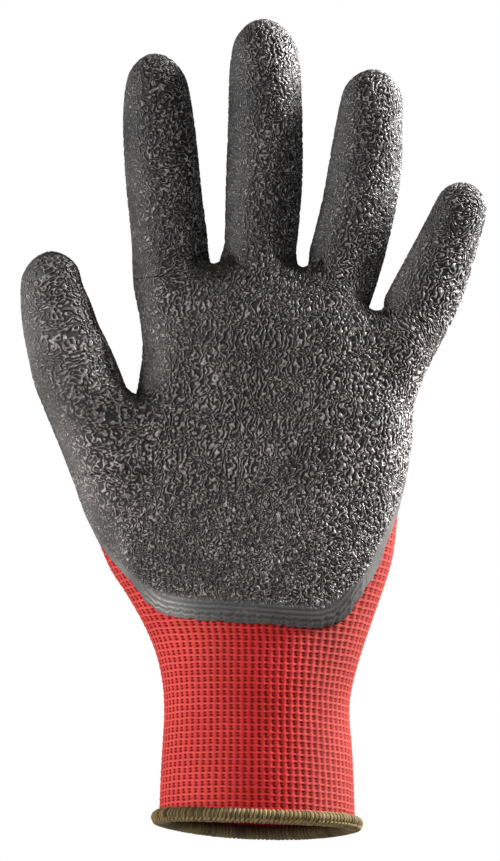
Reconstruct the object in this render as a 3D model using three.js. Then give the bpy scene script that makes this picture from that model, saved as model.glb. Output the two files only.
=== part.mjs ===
// A knitted work glove for the left hand, dipped in crinkled latex on the palm side. It stands as if worn:
// +Z runs from the cuff to the fingertips, the palm faces -Y and the thumb points to -X. The origin is the
// centre of the cuff's mouth, where the wrist goes in. All sizes are in millimetres.
import * as THREE from "three";

// Walls of the three pieces, and the gap that the pieces keep between them.
const linerWall = 1.2;
const latexFilm = 1.0;
const clearance = 0.3;

// The knitted cuff, from the mouth up to the narrow of the wrist.
const cuffLength = 40;
const mouthWidth = 58.4;
const mouthDepth = 44;
const wristWidth = 55.6;
const wristDepth = 40;

// The overlocked hem round the mouth, and how far the knitted edge stops above the hem's underside.
const hemThickness = 6.4;
const hemHeight = 5.2;
const edgeLift = 1.8;

// The hand, from the wrist up to the root of the middle finger.
const palmLength = 129;
const palmDepth = 29;
const knuckleShift = 7.6;
const thumbMound = 14;
const webGap = 5;

// The fingers, from the index to the little finger. Widths and depths are the knitted liner's own, and
// lengths run from the root. Angles are in degrees, towards the little finger's side: how far the root's
// own line falls, and how far the finger leans from straight up at its root and at its tip.
const fingers = [
  { name: "index", width: 20, depth: 19.2, length: 67.5, rootFall: -16, rootLean: -7, tipLean: -1 },
  { name: "middle", width: 20.2, depth: 19.6, length: 74.5, rootFall: 1, rootLean: 4.5, tipLean: -2 },
  { name: "ring", width: 19.5, depth: 18.8, length: 67.5, rootFall: 38, rootLean: 17, tipLean: 0 },
  { name: "little", width: 18.2, depth: 17.2, length: 49, rootFall: 47, rootLean: 29, tipLean: 15 },
];
const rootFlare = 1.06;
// How far the fingers lean back at their roots, and their tips towards the palm, in degrees.
const rootCurl = -2;
const tipCurl = 14;

// The thumb, from the section that leaves its web up to its tip, and how far to the side and above the web
// the middle of that section lies.
const thumbLength = 44.6;
const thumbWidth = 23;
const thumbDepth = 22.6;
const thumbReach = 15;
const thumbRise = 0.6;
const thumbForward = 6;

// The latex: its lower edge on the palm, counted down from the root of the middle finger, and how far that
// edge climbs at each side of the hand.
const latexDrop = 107.5;
const latexThumbRise = 30;
const latexLittleRise = 36;

const degrees = Math.PI / 180;
const mix = (from, to, share) => from + (to - from) * share;

// Rings of the cuff: height as a share of cuffLength, and how much of the mouth's flare is left.
const cuffRings = [
  { up: 0, flare: 1 },
  { up: 0.34, flare: 0.72 },
  { up: 0.68, flare: 0.2 },
  { up: 1, flare: 0 },
];

// Rings of the hand. up is a share of palmLength, and fall is a share of the fall of the roots' line,
// which the ring follows. spread runs from the wrist's width to the knuckles', mound is a share of
// thumbMound, and thin runs from the wrist's depth to the palm's. square says how square the ring is on
// the thumb's side, from 2 for an ellipse, and inset how far the palm's columns there stand in from the
// side, as a share of the width. The last four are shares of half the depth: the palm's bulge on the
// thumb's side, in its hollow and on the little finger's side, and the back.
const handRings = [
  { up: 0.124, fall: 0, spread: 0.18, mound: 0.13, thin: 0.2, square: 2, inset: 0,
    thumb: 1, hollow: 0.98, heel: 1, back: 0.98 },
  { up: 0.248, fall: 0, spread: 0.42, mound: 0.58, thin: 0.5, square: 2.3, inset: 0.01,
    thumb: 1, hollow: 0.98, heel: 1.05, back: 0.93 },
  { up: 0.36, fall: 0.05, spread: 0.57, mound: 0.98, thin: 0.8, square: 2.8, inset: 0.03,
    thumb: 1.02, hollow: 0.98, heel: 1.1, back: 0.93 },
  { up: 0.53, fall: 0.25, spread: 0.63, mound: 0.62, thin: 1, square: 3.4, inset: 0.05,
    thumb: 1.08, hollow: 0.95, heel: 1.1, back: 0.96 },
  { up: 0.715, fall: 0.5, spread: 0.735, mound: 0.22, thin: 1, square: 3, inset: 0.04,
    thumb: 1.04, hollow: 0.9, heel: 1.02, back: 0.98 },
  { up: 0.86, fall: 0.8, spread: 0.78, mound: -0.06, thin: 1, square: 2.4, inset: 0,
    thumb: 0.94, hollow: 0.88, heel: 0.92, back: 0.95 },
];
// The thumb leaves the hand between these two of its rings.
const thumbHole = { bottomIndex: 2, topIndex: 4 };
// How square the rings are on the little finger's side, at the wrist and at the palm, and how fast the
// palm's bulge gains on its hollow towards the sides.
const squareness = { wrist: 2, palm: 2.4 };
const bulgeGain = 1.6;

// Rings of a finger: the height as a share of its length, then each finger's width there as a share of its
// own.
const fingerRings = [
  { up: 0.15, index: 1, middle: 0.955, ring: 0.97, little: 1 },
  { up: 0.37, index: 0.985, middle: 1, ring: 0.995, little: 0.98 },
  { up: 0.59, index: 0.965, middle: 0.97, ring: 0.975, little: 0.875 },
  { up: 0.79, index: 0.875, middle: 0.925, ring: 0.867, little: 0.75 },
  { up: 0.93, index: 0.645, middle: 0.725, ring: 0.69, little: 0.59 },
];

// Rings of the thumb: the height as a share of its length, the centre line's lean there, the ring's own
// tilt, both in degrees away from the fingers, the width and depth as shares of the thumb's, and its share
// of thumbForward.
const thumbRings = [
  { up: 0, lean: 20.5, tilt: 25, width: 1, depth: 1.02, forward: 0.55 },
  { up: 0.285, lean: 18.4, tilt: 19, width: 0.948, depth: 0.96, forward: 0.72 },
  { up: 0.455, lean: 14, tilt: 16, width: 0.862, depth: 0.88, forward: 0.85 },
  { up: 0.62, lean: 12, tilt: 13, width: 0.8, depth: 0.82, forward: 0.92 },
  { up: 0.785, lean: 2, tilt: 9, width: 0.683, depth: 0.72, forward: 1 },
  { up: 0.905, lean: 4, tilt: 6, width: 0.55, depth: 0.56, forward: 1.06 },
];

// A ring round the trunk has a point on each side and eight on the palm and on the back, two for each
// finger. Its points are counted from the little finger's side over the back, and these say which is
// which.
const columns = 8;
const onSide = 0;
const onThumbSide = columns + 1;
const onPalm = (k) => columns + 2 + k;
const onBack = (k) => columns - k;

// A finger's root has a point on each side, and two on the palm and on the back at these shares of its
// width and this share of its depth.
const rootShares = { left: 0.25, right: 0.75, out: 0.48 };

// How far the points on the very side of the hand and of each finger count as dipped, and where on a
// finger the latex starts to close over its back, and how fast.
const sideDip = 0.7;
const tipDip = { start: 0.72, gain: 8 };
// How sharply the latex's lower edge turns up at the sides: a higher power turns later and harder.
const edgeTurn = 8;

// The cage is all quads. Each point is a place that the finished surface passes through. It also carries
// how far it lies on the side that is dipped, from -1 to 1, and its share of the way across the hand.
const cage = { points: [], traits: [], quads: [] };

function addPoint(x, y, z, dipped, across) {
  cage.points.push(new THREE.Vector3(x, y, z));
  cage.traits.push({ dipped, across });
  return cage.points.length - 1;
}

// Quads between two rings of the same count, with the outside of the tube on the outside of each quad.
function joinRings(lower, upper, skip = () => false) {
  lower.forEach((point, j) => {
    const next = (j + 1) % lower.length;
    if (!skip(j)) cage.quads.push([point, lower[next], upper[next], upper[j]]);
  });
}

// Quads that close a ring to one point at its middle.
function capRing(ring, tip) {
  for (let j = 0; j < ring.length; j += 2) {
    cage.quads.push([ring[j], ring[j + 1], ring[(j + 2) % ring.length], tip]);
  }
}

const wristHeight = cuffLength;
const rootHeight = cuffLength + palmLength;

// Each finger's root is a sloping line from its left side to its right side, and they follow one another
// across the hand. The middle finger's starts at rootHeight.
function placeRoots() {
  const lines = fingers.map(({ width, rootFall }) => ({
    width: width * rootFlare * Math.cos(degrees * rootFall),
    fall: width * rootFlare * Math.sin(degrees * rootFall),
  }));
  const total = lines.reduce((sum, line) => sum + line.width, webGap * (lines.length - 1));
  let x = knuckleShift - total / 2;
  let z = rootHeight + lines[0].fall;
  return lines.map((line) => {
    const root = { left: x, leftHeight: z, right: x + line.width, rightHeight: z - line.fall };
    x = root.right + webGap;
    z = root.rightHeight;
    return root;
  });
}

const roots = placeRoots();
const knuckleLeft = roots[0].left;
const knuckleRight = roots[3].right;

// How far the roots' line lies below rootHeight, at a share of the way across the hand.
function rootsFall(share) {
  const x = mix(knuckleLeft, knuckleRight, share);
  const root = roots.find(({ right }) => x <= right + 1e-9) ?? roots[3];
  const along = THREE.MathUtils.clamp((x - root.left) / (root.right - root.left), 0, 1);
  return rootHeight - mix(root.leftHeight, root.rightHeight, along);
}

// The share of the way across the hand of each of the eight columns, at the wrist and at the roots.
const wristColumns = Array.from({ length: columns }, (_, k) => {
  return (1 - Math.cos((Math.PI * (k + 1)) / (columns + 1))) / 2;
});
const rootColumns = roots.flatMap(({ left, right }) =>
  [rootShares.left, rootShares.right].map(
    (along) => (mix(left, right, along) - knuckleLeft) / (knuckleRight - knuckleLeft),
  ),
);

// The height of the latex's lower edge at a share of the way across the hand: level along the bottom, and
// then a rounded corner up to each side.
function latexEdge(share) {
  const across = 2 * share - 1;
  const rise = across < 0 ? latexThumbRise : latexLittleRise;
  return rootHeight - latexDrop + rise * Math.min(1, Math.pow(across, edgeTurn));
}

// One ring of the trunk from its two sides, the roots' fall that it follows, and its depths.
function trunkRing({ left, right, height, fall, shares, inset = 0, palm, back, square, round }) {
  const depth = (share) => {
    const power = share < 0.5 ? square : round;
    return Math.pow(1 - Math.pow(Math.abs(2 * share - 1), power), 1 / power);
  };
  const place = (share, y, dipped) => {
    return addPoint(mix(left, right, share), y, height - fall * rootsFall(share), dipped, share);
  };
  const ring = [];
  ring[onSide] = place(1, 0, sideDip);
  ring[onThumbSide] = place(0, 0, sideDip);
  shares.forEach((share, k) => {
    const palmShare = share + inset * Math.max(0, 1 - k / (columns / 2));
    ring[onPalm(k)] = place(palmShare, -palm(palmShare) * depth(palmShare), 1);
    ring[onBack(k)] = place(share, back * depth(share), -1);
  });
  return ring;
}

function cuffRing({ up, flare }) {
  const width = mix(wristWidth, mouthWidth, flare);
  const depth = mix(wristDepth, mouthDepth, flare);
  return trunkRing({
    left: -width / 2,
    right: width / 2,
    height: mix(edgeLift, wristHeight, up),
    fall: 0,
    shares: wristColumns,
    palm: () => depth / 2,
    back: depth / 2,
    square: squareness.wrist,
    round: squareness.wrist,
  });
}

function handRing(row) {
  const half = mix(wristDepth, palmDepth, row.thin) / 2;
  const bulge = (share) => {
    const across = 2 * share - 1;
    const side = across < 0 ? row.thumb : row.heel;
    return half * mix(row.hollow, side, Math.min(1, across * across * bulgeGain));
  };
  return trunkRing({
    left: mix(-wristWidth / 2, knuckleLeft, row.spread) - row.mound * thumbMound,
    right: mix(wristWidth / 2, knuckleRight, row.spread),
    height: wristHeight + row.up * palmLength,
    fall: row.fall,
    shares: wristColumns.map((share, k) => mix(share, rootColumns[k], row.up)),
    inset: row.inset,
    palm: bulge,
    back: half * row.back,
    square: row.square,
    round: mix(squareness.wrist, squareness.palm, row.thin),
  });
}

// The roots of the fingers, as one ring of the trunk, and the ring of six that each finger starts from.
function rootRings() {
  const ring = [];
  const loops = fingers.map(({ depth }, f) => {
    const { left, leftHeight, right, rightHeight } = roots[f];
    const at = (along, y, dipped) => {
      const x = mix(left, right, along);
      const across = (x - knuckleLeft) / (knuckleRight - knuckleLeft);
      return addPoint(x, y * depth, mix(leftHeight, rightHeight, along), dipped, across);
    };
    return [
      at(1, 0, sideDip),
      at(rootShares.right, rootShares.out, -1),
      at(rootShares.left, rootShares.out, -1),
      at(0, 0, sideDip),
      at(rootShares.left, -rootShares.out, 1),
      at(rootShares.right, -rootShares.out, 1),
    ];
  });
  loops.forEach(([, backRight, backLeft, , palmLeft, palmRight], f) => {
    ring[onPalm(2 * f)] = palmLeft;
    ring[onPalm(2 * f + 1)] = palmRight;
    ring[onBack(2 * f)] = backLeft;
    ring[onBack(2 * f + 1)] = backRight;
  });
  ring[onSide] = loops[3][0];
  ring[onThumbSide] = loops[0][3];
  return { ring, loops };
}

// The web between two fingers: one quad from the palm up to its crest and one down the back.
function addWeb(left, right) {
  const [leftSide, leftBack, , , , leftPalm] = left;
  const [, , rightBack, rightSide, rightPalm] = right;
  cage.quads.push([leftPalm, rightPalm, rightSide, leftSide]);
  cage.quads.push([leftSide, rightSide, rightBack, leftBack]);
}

// The direction of an axis that leans sideways by lean and towards the palm by curl.
function axisAt(lean, curl) {
  return new THREE.Vector3(Math.sin(lean) * Math.cos(curl), -Math.sin(curl), Math.cos(lean) * Math.cos(curl));
}

// A ring round such an axis, and how far round it each point counts as dipped.
function limbRing({ centre, lean, curl, width, depth, count, dippedAt, across }) {
  const side = new THREE.Vector3(Math.cos(lean), 0, -Math.sin(lean));
  const back = axisAt(lean, curl).cross(side);
  return Array.from({ length: count }, (_, j) => {
    const angle = (2 * Math.PI * j) / count;
    const point = centre
      .clone()
      .addScaledVector(side, (width / 2) * Math.cos(angle))
      .addScaledVector(back, (depth / 2) * Math.sin(angle));
    return addPoint(point.x, point.y, point.z, dippedAt(angle), across);
  });
}

// The latex wraps round a finger's sides and over its tip, and leaves the rest of its back bare. The back
// is where the sine of the angle is above nil.
function fingerDip(up, angle) {
  const overTip = Math.max(0, (up - tipDip.start) * tipDip.gain);
  const facing = Math.sin(angle);
  const roundSide = Math.abs(facing) < 0.01 ? sideDip : -Math.sign(facing);
  return Math.min(1, roundSide + overTip);
}

// A finger's middle line bends evenly, so it is followed in many short steps from the root to the tip.
function addFinger(finger, root, loop) {
  const steps = 100;
  const place = new THREE.Vector3((root.left + root.right) / 2, 0, (root.leftHeight + root.rightHeight) / 2);
  const across = (place.x - knuckleLeft) / (knuckleRight - knuckleLeft);
  let ring = loop;
  let waiting = 0;
  for (let step = 1; step <= steps; step += 1) {
    const up = step / steps;
    const lean = degrees * mix(finger.rootLean, finger.tipLean, up);
    const curl = degrees * mix(rootCurl, tipCurl, up);
    place.addScaledVector(axisAt(lean, curl), finger.length / steps);
    const row = fingerRings[waiting];
    if (row && up >= row.up) {
      const width = finger.width * row[finger.name];
      const depth = finger.depth * row[finger.name];
      const dippedAt = (angle) => fingerDip(up, angle);
      const next = limbRing({ centre: place, lean, curl, width, depth, count: 6, dippedAt, across });
      joinRings(ring, next);
      ring = next;
      waiting += 1;
    }
  }
  capRing(ring, addPoint(place.x, place.y, place.z, 1, across));
}

// The thumb leaves the trunk through a hole two quads wide and two high on the trunk's left side.
function addThumb(bottom, middle, top) {
  const loop = [
    top[onThumbSide],
    top[onBack(0)],
    middle[onBack(0)],
    bottom[onBack(0)],
    bottom[onThumbSide],
    bottom[onPalm(0)],
    middle[onPalm(0)],
    top[onPalm(0)],
  ];
  const web = cage.points[top[onThumbSide]];
  const place = new THREE.Vector3(web.x - thumbReach, 0, web.z + thumbRise);
  let ring = loop;
  thumbRings.forEach((row, r) => {
    const above = thumbRings[r + 1] ?? { up: 1 };
    const step = (above.up - row.up) * thumbLength;
    place.y = -row.forward * thumbForward;
    const next = limbRing({
      centre: place,
      lean: -degrees * row.tilt,
      curl: 0,
      width: thumbWidth * row.width,
      depth: thumbDepth * row.depth,
      count: 8,
      dippedAt: () => 1,
      across: 0,
    });
    joinRings(ring, next);
    ring = next;
    place.addScaledVector(axisAt(-degrees * row.lean, 0), step);
  });
  capRing(ring, addPoint(place.x, place.y, place.z, 1, 0));
}

function buildCage() {
  const trunk = [...cuffRings.map(cuffRing), ...handRings.map(handRing)];
  const bottom = cuffRings.length + thumbHole.bottomIndex;
  const top = cuffRings.length + thumbHole.topIndex;
  const inThumb = (row) => (j) => row >= bottom && row < top && (j === onThumbSide || j === onBack(0));
  const { ring, loops } = rootRings();
  trunk.push(ring);
  trunk.slice(1).forEach((upper, row) => joinRings(trunk[row], upper, inThumb(row)));
  fingers.forEach((finger, f) => addFinger(finger, roots[f], loops[f]));
  loops.slice(1).forEach((loop, f) => addWeb(loops[f], loop));
  addThumb(trunk[bottom], trunk[bottom + 1], trunk[top]);
  return trunk[0];
}

// For each point of a quad mesh: its neighbours along edges, the far corners of its quads, and its rim
// neighbours.
function neighbourhoods(mesh) {
  const found = mesh.points.map(() => ({ edges: new Set(), corners: [], rim: [] }));
  const uses = new Map();
  mesh.quads.forEach((quad) => {
    quad.forEach((a, i) => {
      const b = quad[(i + 1) % 4];
      found[a].edges.add(b);
      found[b].edges.add(a);
      found[a].corners.push(quad[(i + 2) % 4]);
      const key = Math.min(a, b) + ":" + Math.max(a, b);
      uses.set(key, (uses.get(key) ?? 0) + 1);
    });
  });
  uses.forEach((count, key) => {
    if (count > 1) return;
    const [a, b] = key.split(":").map(Number);
    found[a].rim.push(b);
    found[b].rim.push(a);
  });
  return found;
}

// Where the smooth surface of a quad cage passes beside one of its points.
function limitPoint(points, index, around) {
  const { edges, corners, rim } = around[index];
  const own = points[index].clone();
  if (rim.length) {
    own.multiplyScalar(4);
    rim.forEach((i) => own.add(points[i]));
    return own.multiplyScalar(1 / 6);
  }
  const n = edges.size;
  own.multiplyScalar(n * n);
  edges.forEach((i) => own.addScaledVector(points[i], 4));
  corners.forEach((i) => own.add(points[i]));
  return own.multiplyScalar(1 / (n * (n + 5)));
}

// Swells the cage until its smooth surface passes through the places that it was drawn at.
function fitCage() {
  const rounds = 14;
  const around = neighbourhoods(cage);
  const wanted = cage.points.map((point) => point.clone());
  for (let round = 0; round < rounds; round += 1) {
    const limits = cage.points.map((_, i) => limitPoint(cage.points, i, around));
    cage.points.forEach((point, i) => point.add(wanted[i]).sub(limits[i]));
  }
}

// One step of Catmull and Clark's subdivision, which carries each point's traits along.
function subdivide(mesh) {
  const around = neighbourhoods(mesh);
  const points = [];
  const traits = [];
  const put = (point, own) => {
    points.push(point);
    traits.push(own);
    return points.length - 1;
  };
  const mean = (indices) => {
    const sum = new THREE.Vector3();
    indices.forEach((i) => sum.add(mesh.points[i]));
    return sum.multiplyScalar(1 / indices.length);
  };
  const meanTraits = (indices) => ({
    dipped: indices.reduce((sum, i) => sum + mesh.traits[i].dipped, 0) / indices.length,
    across: indices.reduce((sum, i) => sum + mesh.traits[i].across, 0) / indices.length,
  });
  const centres = mesh.quads.map((quad) => mean(quad));
  const edgeQuads = new Map();
  const pointQuads = mesh.points.map(() => []);
  mesh.quads.forEach((quad, q) => {
    quad.forEach((a, i) => {
      const b = quad[(i + 1) % 4];
      const key = Math.min(a, b) + ":" + Math.max(a, b);
      edgeQuads.set(key, [...(edgeQuads.get(key) ?? []), q]);
      pointQuads[a].push(q);
    });
  });
  mesh.points.forEach((point, i) => {
    const { edges, rim } = around[i];
    const moved = point.clone();
    if (rim.length) {
      moved.multiplyScalar(6);
      rim.forEach((j) => moved.add(mesh.points[j]));
      moved.multiplyScalar(1 / 8);
    } else {
      const n = edges.size;
      const faces = new THREE.Vector3();
      pointQuads[i].forEach((q) => faces.addScaledVector(centres[q], 1 / n));
      const sides = new THREE.Vector3();
      edges.forEach((j) => sides.addScaledVector(mean([i, j]), 2 / n));
      moved.multiplyScalar(n - 3).add(faces).add(sides).multiplyScalar(1 / n);
    }
    put(moved, mesh.traits[i]);
  });
  const edgePoints = new Map();
  edgeQuads.forEach((quads, key) => {
    const ends = key.split(":").map(Number);
    const middle = mean(ends);
    if (quads.length === 2) {
      middle.add(mean(ends)).add(centres[quads[0]]).add(centres[quads[1]]).multiplyScalar(1 / 4);
    }
    edgePoints.set(key, put(middle, meanTraits(ends)));
  });
  const quads = [];
  mesh.quads.forEach((quad, q) => {
    const centre = put(centres[q], meanTraits(quad));
    const sides = quad.map((a, i) => {
      const b = quad[(i + 1) % 4];
      return edgePoints.get(Math.min(a, b) + ":" + Math.max(a, b));
    });
    quad.forEach((a, i) => quads.push([a, sides[i], centre, sides[(i + 3) % 4]]));
  });
  return { points, traits, quads };
}

function outwardNormals(mesh) {
  const normals = mesh.points.map(() => new THREE.Vector3());
  mesh.quads.forEach(([a, b, c, d]) => {
    const first = mesh.points[c].clone().sub(mesh.points[a]);
    const second = mesh.points[d].clone().sub(mesh.points[b]);
    const normal = first.cross(second);
    [a, b, c, d].forEach((i) => normals[i].add(normal));
  });
  return normals.map((normal) => normal.normalize());
}

// The triangles of a quad mesh. Each quad is split along its shorter diagonal.
function trianglesOf(mesh) {
  return mesh.quads.flatMap(([a, b, c, d]) => {
    const straight = mesh.points[a].distanceTo(mesh.points[c]) <= mesh.points[b].distanceTo(mesh.points[d]);
    return straight ? [[a, b, c], [a, c, d]] : [[a, b, d], [b, c, d]];
  });
}

// The edges that only one triangle has, each in that triangle's own direction.
function rimEdges(triangles) {
  const rim = new Map();
  triangles.forEach((triangle) => {
    triangle.forEach((a, i) => {
      const b = triangle[(i + 1) % 3];
      if (!rim.delete(b + ":" + a)) rim.set(a + ":" + b, [a, b]);
    });
  });
  return [...rim.values()];
}

// A closed wall between two offsets of one surface, with a strip along each rim.
function wallGeometry(points, normals, triangles, outside, inside) {
  const position = [];
  const put = (i, offset) => {
    const point = points[i].clone().addScaledVector(normals[i], offset);
    position.push(point.x, point.y, point.z);
  };
  points.forEach((_, i) => put(i, outside));
  points.forEach((_, i) => put(i, inside));
  const lower = (i) => i + points.length;
  const index = [];
  triangles.forEach(([a, b, c]) => index.push(a, b, c, lower(a), lower(c), lower(b)));
  rimEdges(triangles).forEach(([a, b]) => index.push(a, lower(a), lower(b), a, lower(b), b));
  const geometry = new THREE.BufferGeometry();
  geometry.setAttribute("position", new THREE.Float32BufferAttribute(position, 3));
  geometry.setIndex(index);
  geometry.computeVertexNormals();
  return geometry;
}

// How far inside the latex a point lies: above nil it is covered.
function coverAt(mesh, i) {
  const aboveEdge = (mesh.points[i].z - latexEdge(mesh.traits[i].across)) / latexThumbRise;
  return Math.min(mesh.traits[i].dipped, aboveEdge);
}

// The part of a surface that the latex covers, cut along the line where the cover is nil.
function coveredPart(mesh, normals) {
  const cover = mesh.points.map((_, i) => coverAt(mesh, i));
  const points = [];
  const directions = [];
  const kept = new Map();
  const put = (key, point, normal) => {
    if (!kept.has(key)) {
      kept.set(key, points.length);
      points.push(point);
      directions.push(normal);
    }
    return kept.get(key);
  };
  const whole = (i) => put(String(i), mesh.points[i], normals[i]);
  // A cut close to a point would leave slivers, so each cut keeps away from both ends of its edge.
  const leastShare = 0.15;
  const cut = (i, j) => {
    const [a, b] = [Math.min(i, j), Math.max(i, j)];
    const share = THREE.MathUtils.clamp(cover[a] / (cover[a] - cover[b]), leastShare, 1 - leastShare);
    const point = mesh.points[a].clone().lerp(mesh.points[b], share);
    return put(a + ":" + b, point, normals[a].clone().lerp(normals[b], share).normalize());
  };
  const triangles = [];
  trianglesOf(mesh).forEach((triangle) => {
    const corners = [];
    triangle.forEach((i, k) => {
      const j = triangle[(k + 1) % 3];
      if (cover[i] > 0) corners.push(whole(i));
      if (cover[i] > 0 !== cover[j] > 0) corners.push(cut(i, j));
    });
    for (let k = 2; k < corners.length; k += 1) triangles.push([corners[0], corners[k - 1], corners[k]]);
  });
  return { points, normals: directions, triangles };
}

// The hem's section, as distances out from the middle of the knitted wall and up from the hem's underside:
// an oval with a slot from above that holds the knitted edge.
function hemSection() {
  const slot = linerWall / 2 + clearance;
  const floor = edgeLift - clearance;
  const around = 10;
  const start = Math.asin(slot / (hemThickness / 2));
  const oval = Array.from({ length: around + 1 }, (_, k) => {
    const angle = start + ((2 * Math.PI - 2 * start) * k) / around;
    const out = (hemThickness / 2) * Math.sin(angle);
    return { out, up: (hemHeight / 2) * (1 + Math.cos(angle)) };
  });
  return [...oval, { out: -slot, up: floor }, { out: slot, up: floor }];
}

function hemGeometry(mesh, normals, rim) {
  const section = hemSection();
  const position = [];
  rim.forEach((i) => {
    const out = normals[i].clone().setZ(0).normalize();
    const middle = mesh.points[i].clone().addScaledVector(out, -linerWall / 2);
    section.forEach((corner) => {
      const point = middle.clone().addScaledVector(out, corner.out);
      position.push(point.x, point.y, corner.up);
    });
  });
  const index = [];
  const count = section.length;
  rim.forEach((_, r) => {
    const here = r * count;
    const there = ((r + 1) % rim.length) * count;
    section.forEach((__, k) => {
      const next = (k + 1) % count;
      index.push(here + k, here + next, there + next, here + k, there + next, there + k);
    });
  });
  const geometry = new THREE.BufferGeometry();
  geometry.setAttribute("position", new THREE.Float32BufferAttribute(position, 3));
  geometry.setIndex(index);
  geometry.computeVertexNormals();
  return geometry;
}

// The rim of the cuff's mouth, in order round it.
function rimLoop(mesh) {
  const next = new Map(rimEdges(trianglesOf(mesh)).map(([a, b]) => [a, b]));
  const loop = [[...next.keys()][0]];
  while (next.get(loop.at(-1)) !== loop[0]) loop.push(next.get(loop.at(-1)));
  return loop;
}

buildCage();
fitCage();
const surface = subdivide(cage);
const normals = outwardNormals(surface);

const glove = new THREE.Group();

function addPiece(name, geometry, colour, roughness) {
  const material = new THREE.MeshStandardMaterial({ color: colour, roughness, metalness: 0 });
  const piece = new THREE.Mesh(geometry, material);
  piece.name = name;
  glove.add(piece);
}

const linerGeometry = wallGeometry(surface.points, normals, trianglesOf(surface), 0, -linerWall);
addPiece("knitted_liner", linerGeometry, 0xd0292c, 0.85);

const covered = coveredPart(surface, normals);
const filmFloor = clearance;
const filmTop = clearance + latexFilm;
const filmGeometry = wallGeometry(covered.points, covered.normals, covered.triangles, filmTop, filmFloor);
addPiece("latex_coating", filmGeometry, 0x4a4a4b, 0.45);

addPiece("cuff_hem", hemGeometry(surface, normals, rimLoop(surface)), 0x6b5a35, 0.9);

export default glove;
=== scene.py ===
# A knitted work glove for the left hand with a crinkled latex palm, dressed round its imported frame.
import math
import random
import bmesh
import bpy
import numpy as np
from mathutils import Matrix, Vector
from mathutils.bvhtree import BVHTree
from mathutils.kdtree import KDTree


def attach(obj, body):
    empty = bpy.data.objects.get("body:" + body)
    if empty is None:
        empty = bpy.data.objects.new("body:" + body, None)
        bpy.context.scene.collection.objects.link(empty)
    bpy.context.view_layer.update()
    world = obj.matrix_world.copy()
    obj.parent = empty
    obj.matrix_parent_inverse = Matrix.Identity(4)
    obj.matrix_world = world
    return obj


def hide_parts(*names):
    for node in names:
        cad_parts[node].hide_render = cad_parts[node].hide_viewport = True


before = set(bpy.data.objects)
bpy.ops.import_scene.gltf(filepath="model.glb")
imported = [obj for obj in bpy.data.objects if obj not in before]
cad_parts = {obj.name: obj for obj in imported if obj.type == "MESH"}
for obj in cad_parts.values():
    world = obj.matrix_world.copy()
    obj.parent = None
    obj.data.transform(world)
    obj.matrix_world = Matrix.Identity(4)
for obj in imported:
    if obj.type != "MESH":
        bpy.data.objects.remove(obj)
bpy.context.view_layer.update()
mm = 0.001


def activate(obj):
    bpy.ops.object.select_all(action="DESELECT")
    obj.select_set(True)
    bpy.context.view_layer.objects.active = obj


def editAll():
    bpy.ops.object.mode_set(mode="EDIT")
    bpy.ops.mesh.select_all(action="SELECT")


def leaveEdit():
    bpy.ops.object.mode_set(mode="OBJECT")


def addObject(name, data):
    made = bpy.data.objects.new(name, data)
    bpy.context.scene.collection.objects.link(made)
    return made


def newPiece(name, mesh):
    piece = addObject(name, mesh)
    activate(piece)
    return piece


def applyModifier(piece, kind, **settings):
    activate(piece)
    modifier = piece.modifiers.new(kind.lower(), kind)
    for key, value in settings.items():
        setattr(modifier, key, value)
    bpy.ops.object.modifier_apply(modifier=modifier.name)


# Gives a sheet its thickness. Its underside is far coarser than its top.
def thicken(piece, kept, **settings):
    piece.vertex_groups.new(name="underside")
    applyModifier(piece, "SOLIDIFY", offset=-1, use_rim=True, shell_vertex_group="underside", **settings)
    applyModifier(piece, "DECIMATE", ratio=kept, vertex_group="underside", vertex_group_factor=1000)


def tell(piece):
    print(piece.name, sum(len(face.vertices) - 2 for face in piece.data.polygons))


def subdivided(piece, levels):
    applyModifier(piece, "SUBSURF", levels=levels, render_levels=levels)


def numbersOf(items, name, width, kind=float):
    flat = np.empty(len(items) * width, dtype=kind)
    items.foreach_get(name, flat)
    return flat.reshape(-1, width)


def placesOf(mesh):
    return numbersOf(mesh.vertices, "co", 3)


def normalsOf(mesh):
    return numbersOf(mesh.vertex_normals, "vector", 3)


def edgesOf(mesh):
    return numbersOf(mesh.edges, "vertices", 2, np.int32)


def movePlaces(mesh, places):
    mesh.vertices.foreach_set("co", np.ascontiguousarray(places, dtype=np.float32).ravel())
    mesh.update()


def keepNumber(mesh, name, values):
    store = mesh.attributes.get(name) or mesh.attributes.new(name, "FLOAT", "POINT")
    store.data.foreach_set("value", np.ascontiguousarray(values, dtype=np.float32))


def numberOf(mesh, name):
    return numbersOf(mesh.attributes[name].data, "value", 1, np.float32)[:, 0]


def ease(values, start, end):
    share = np.clip((values - start) / (end - start), 0, 1)
    return share * share * (3 - 2 * share)


# How far places lie from a point of the glove's face, which is given in mm.
def awayFrom(places, across, up):
    return np.hypot(places[:, 0] - across * mm, places[:, 2] - up * mm)


def deleteFaces(mesh, gone):
    work = bmesh.new()
    work.from_mesh(mesh)
    faces = [face for face in work.faces if gone[face.index]]
    bmesh.ops.delete(work, geom=faces, context="FACES")
    work.to_mesh(mesh)
    work.free()


def smoothed(mesh, values, rounds):
    edges = edgesOf(mesh)
    count = np.bincount(edges.ravel(), minlength=len(values))
    for _ in range(rounds):
        total = np.bincount(edges[:, 0], values[edges[:, 1]], len(values))
        total += np.bincount(edges[:, 1], values[edges[:, 0]], len(values))
        values = 0.5 * values + 0.5 * total / np.maximum(count, 1)
    return values


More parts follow.
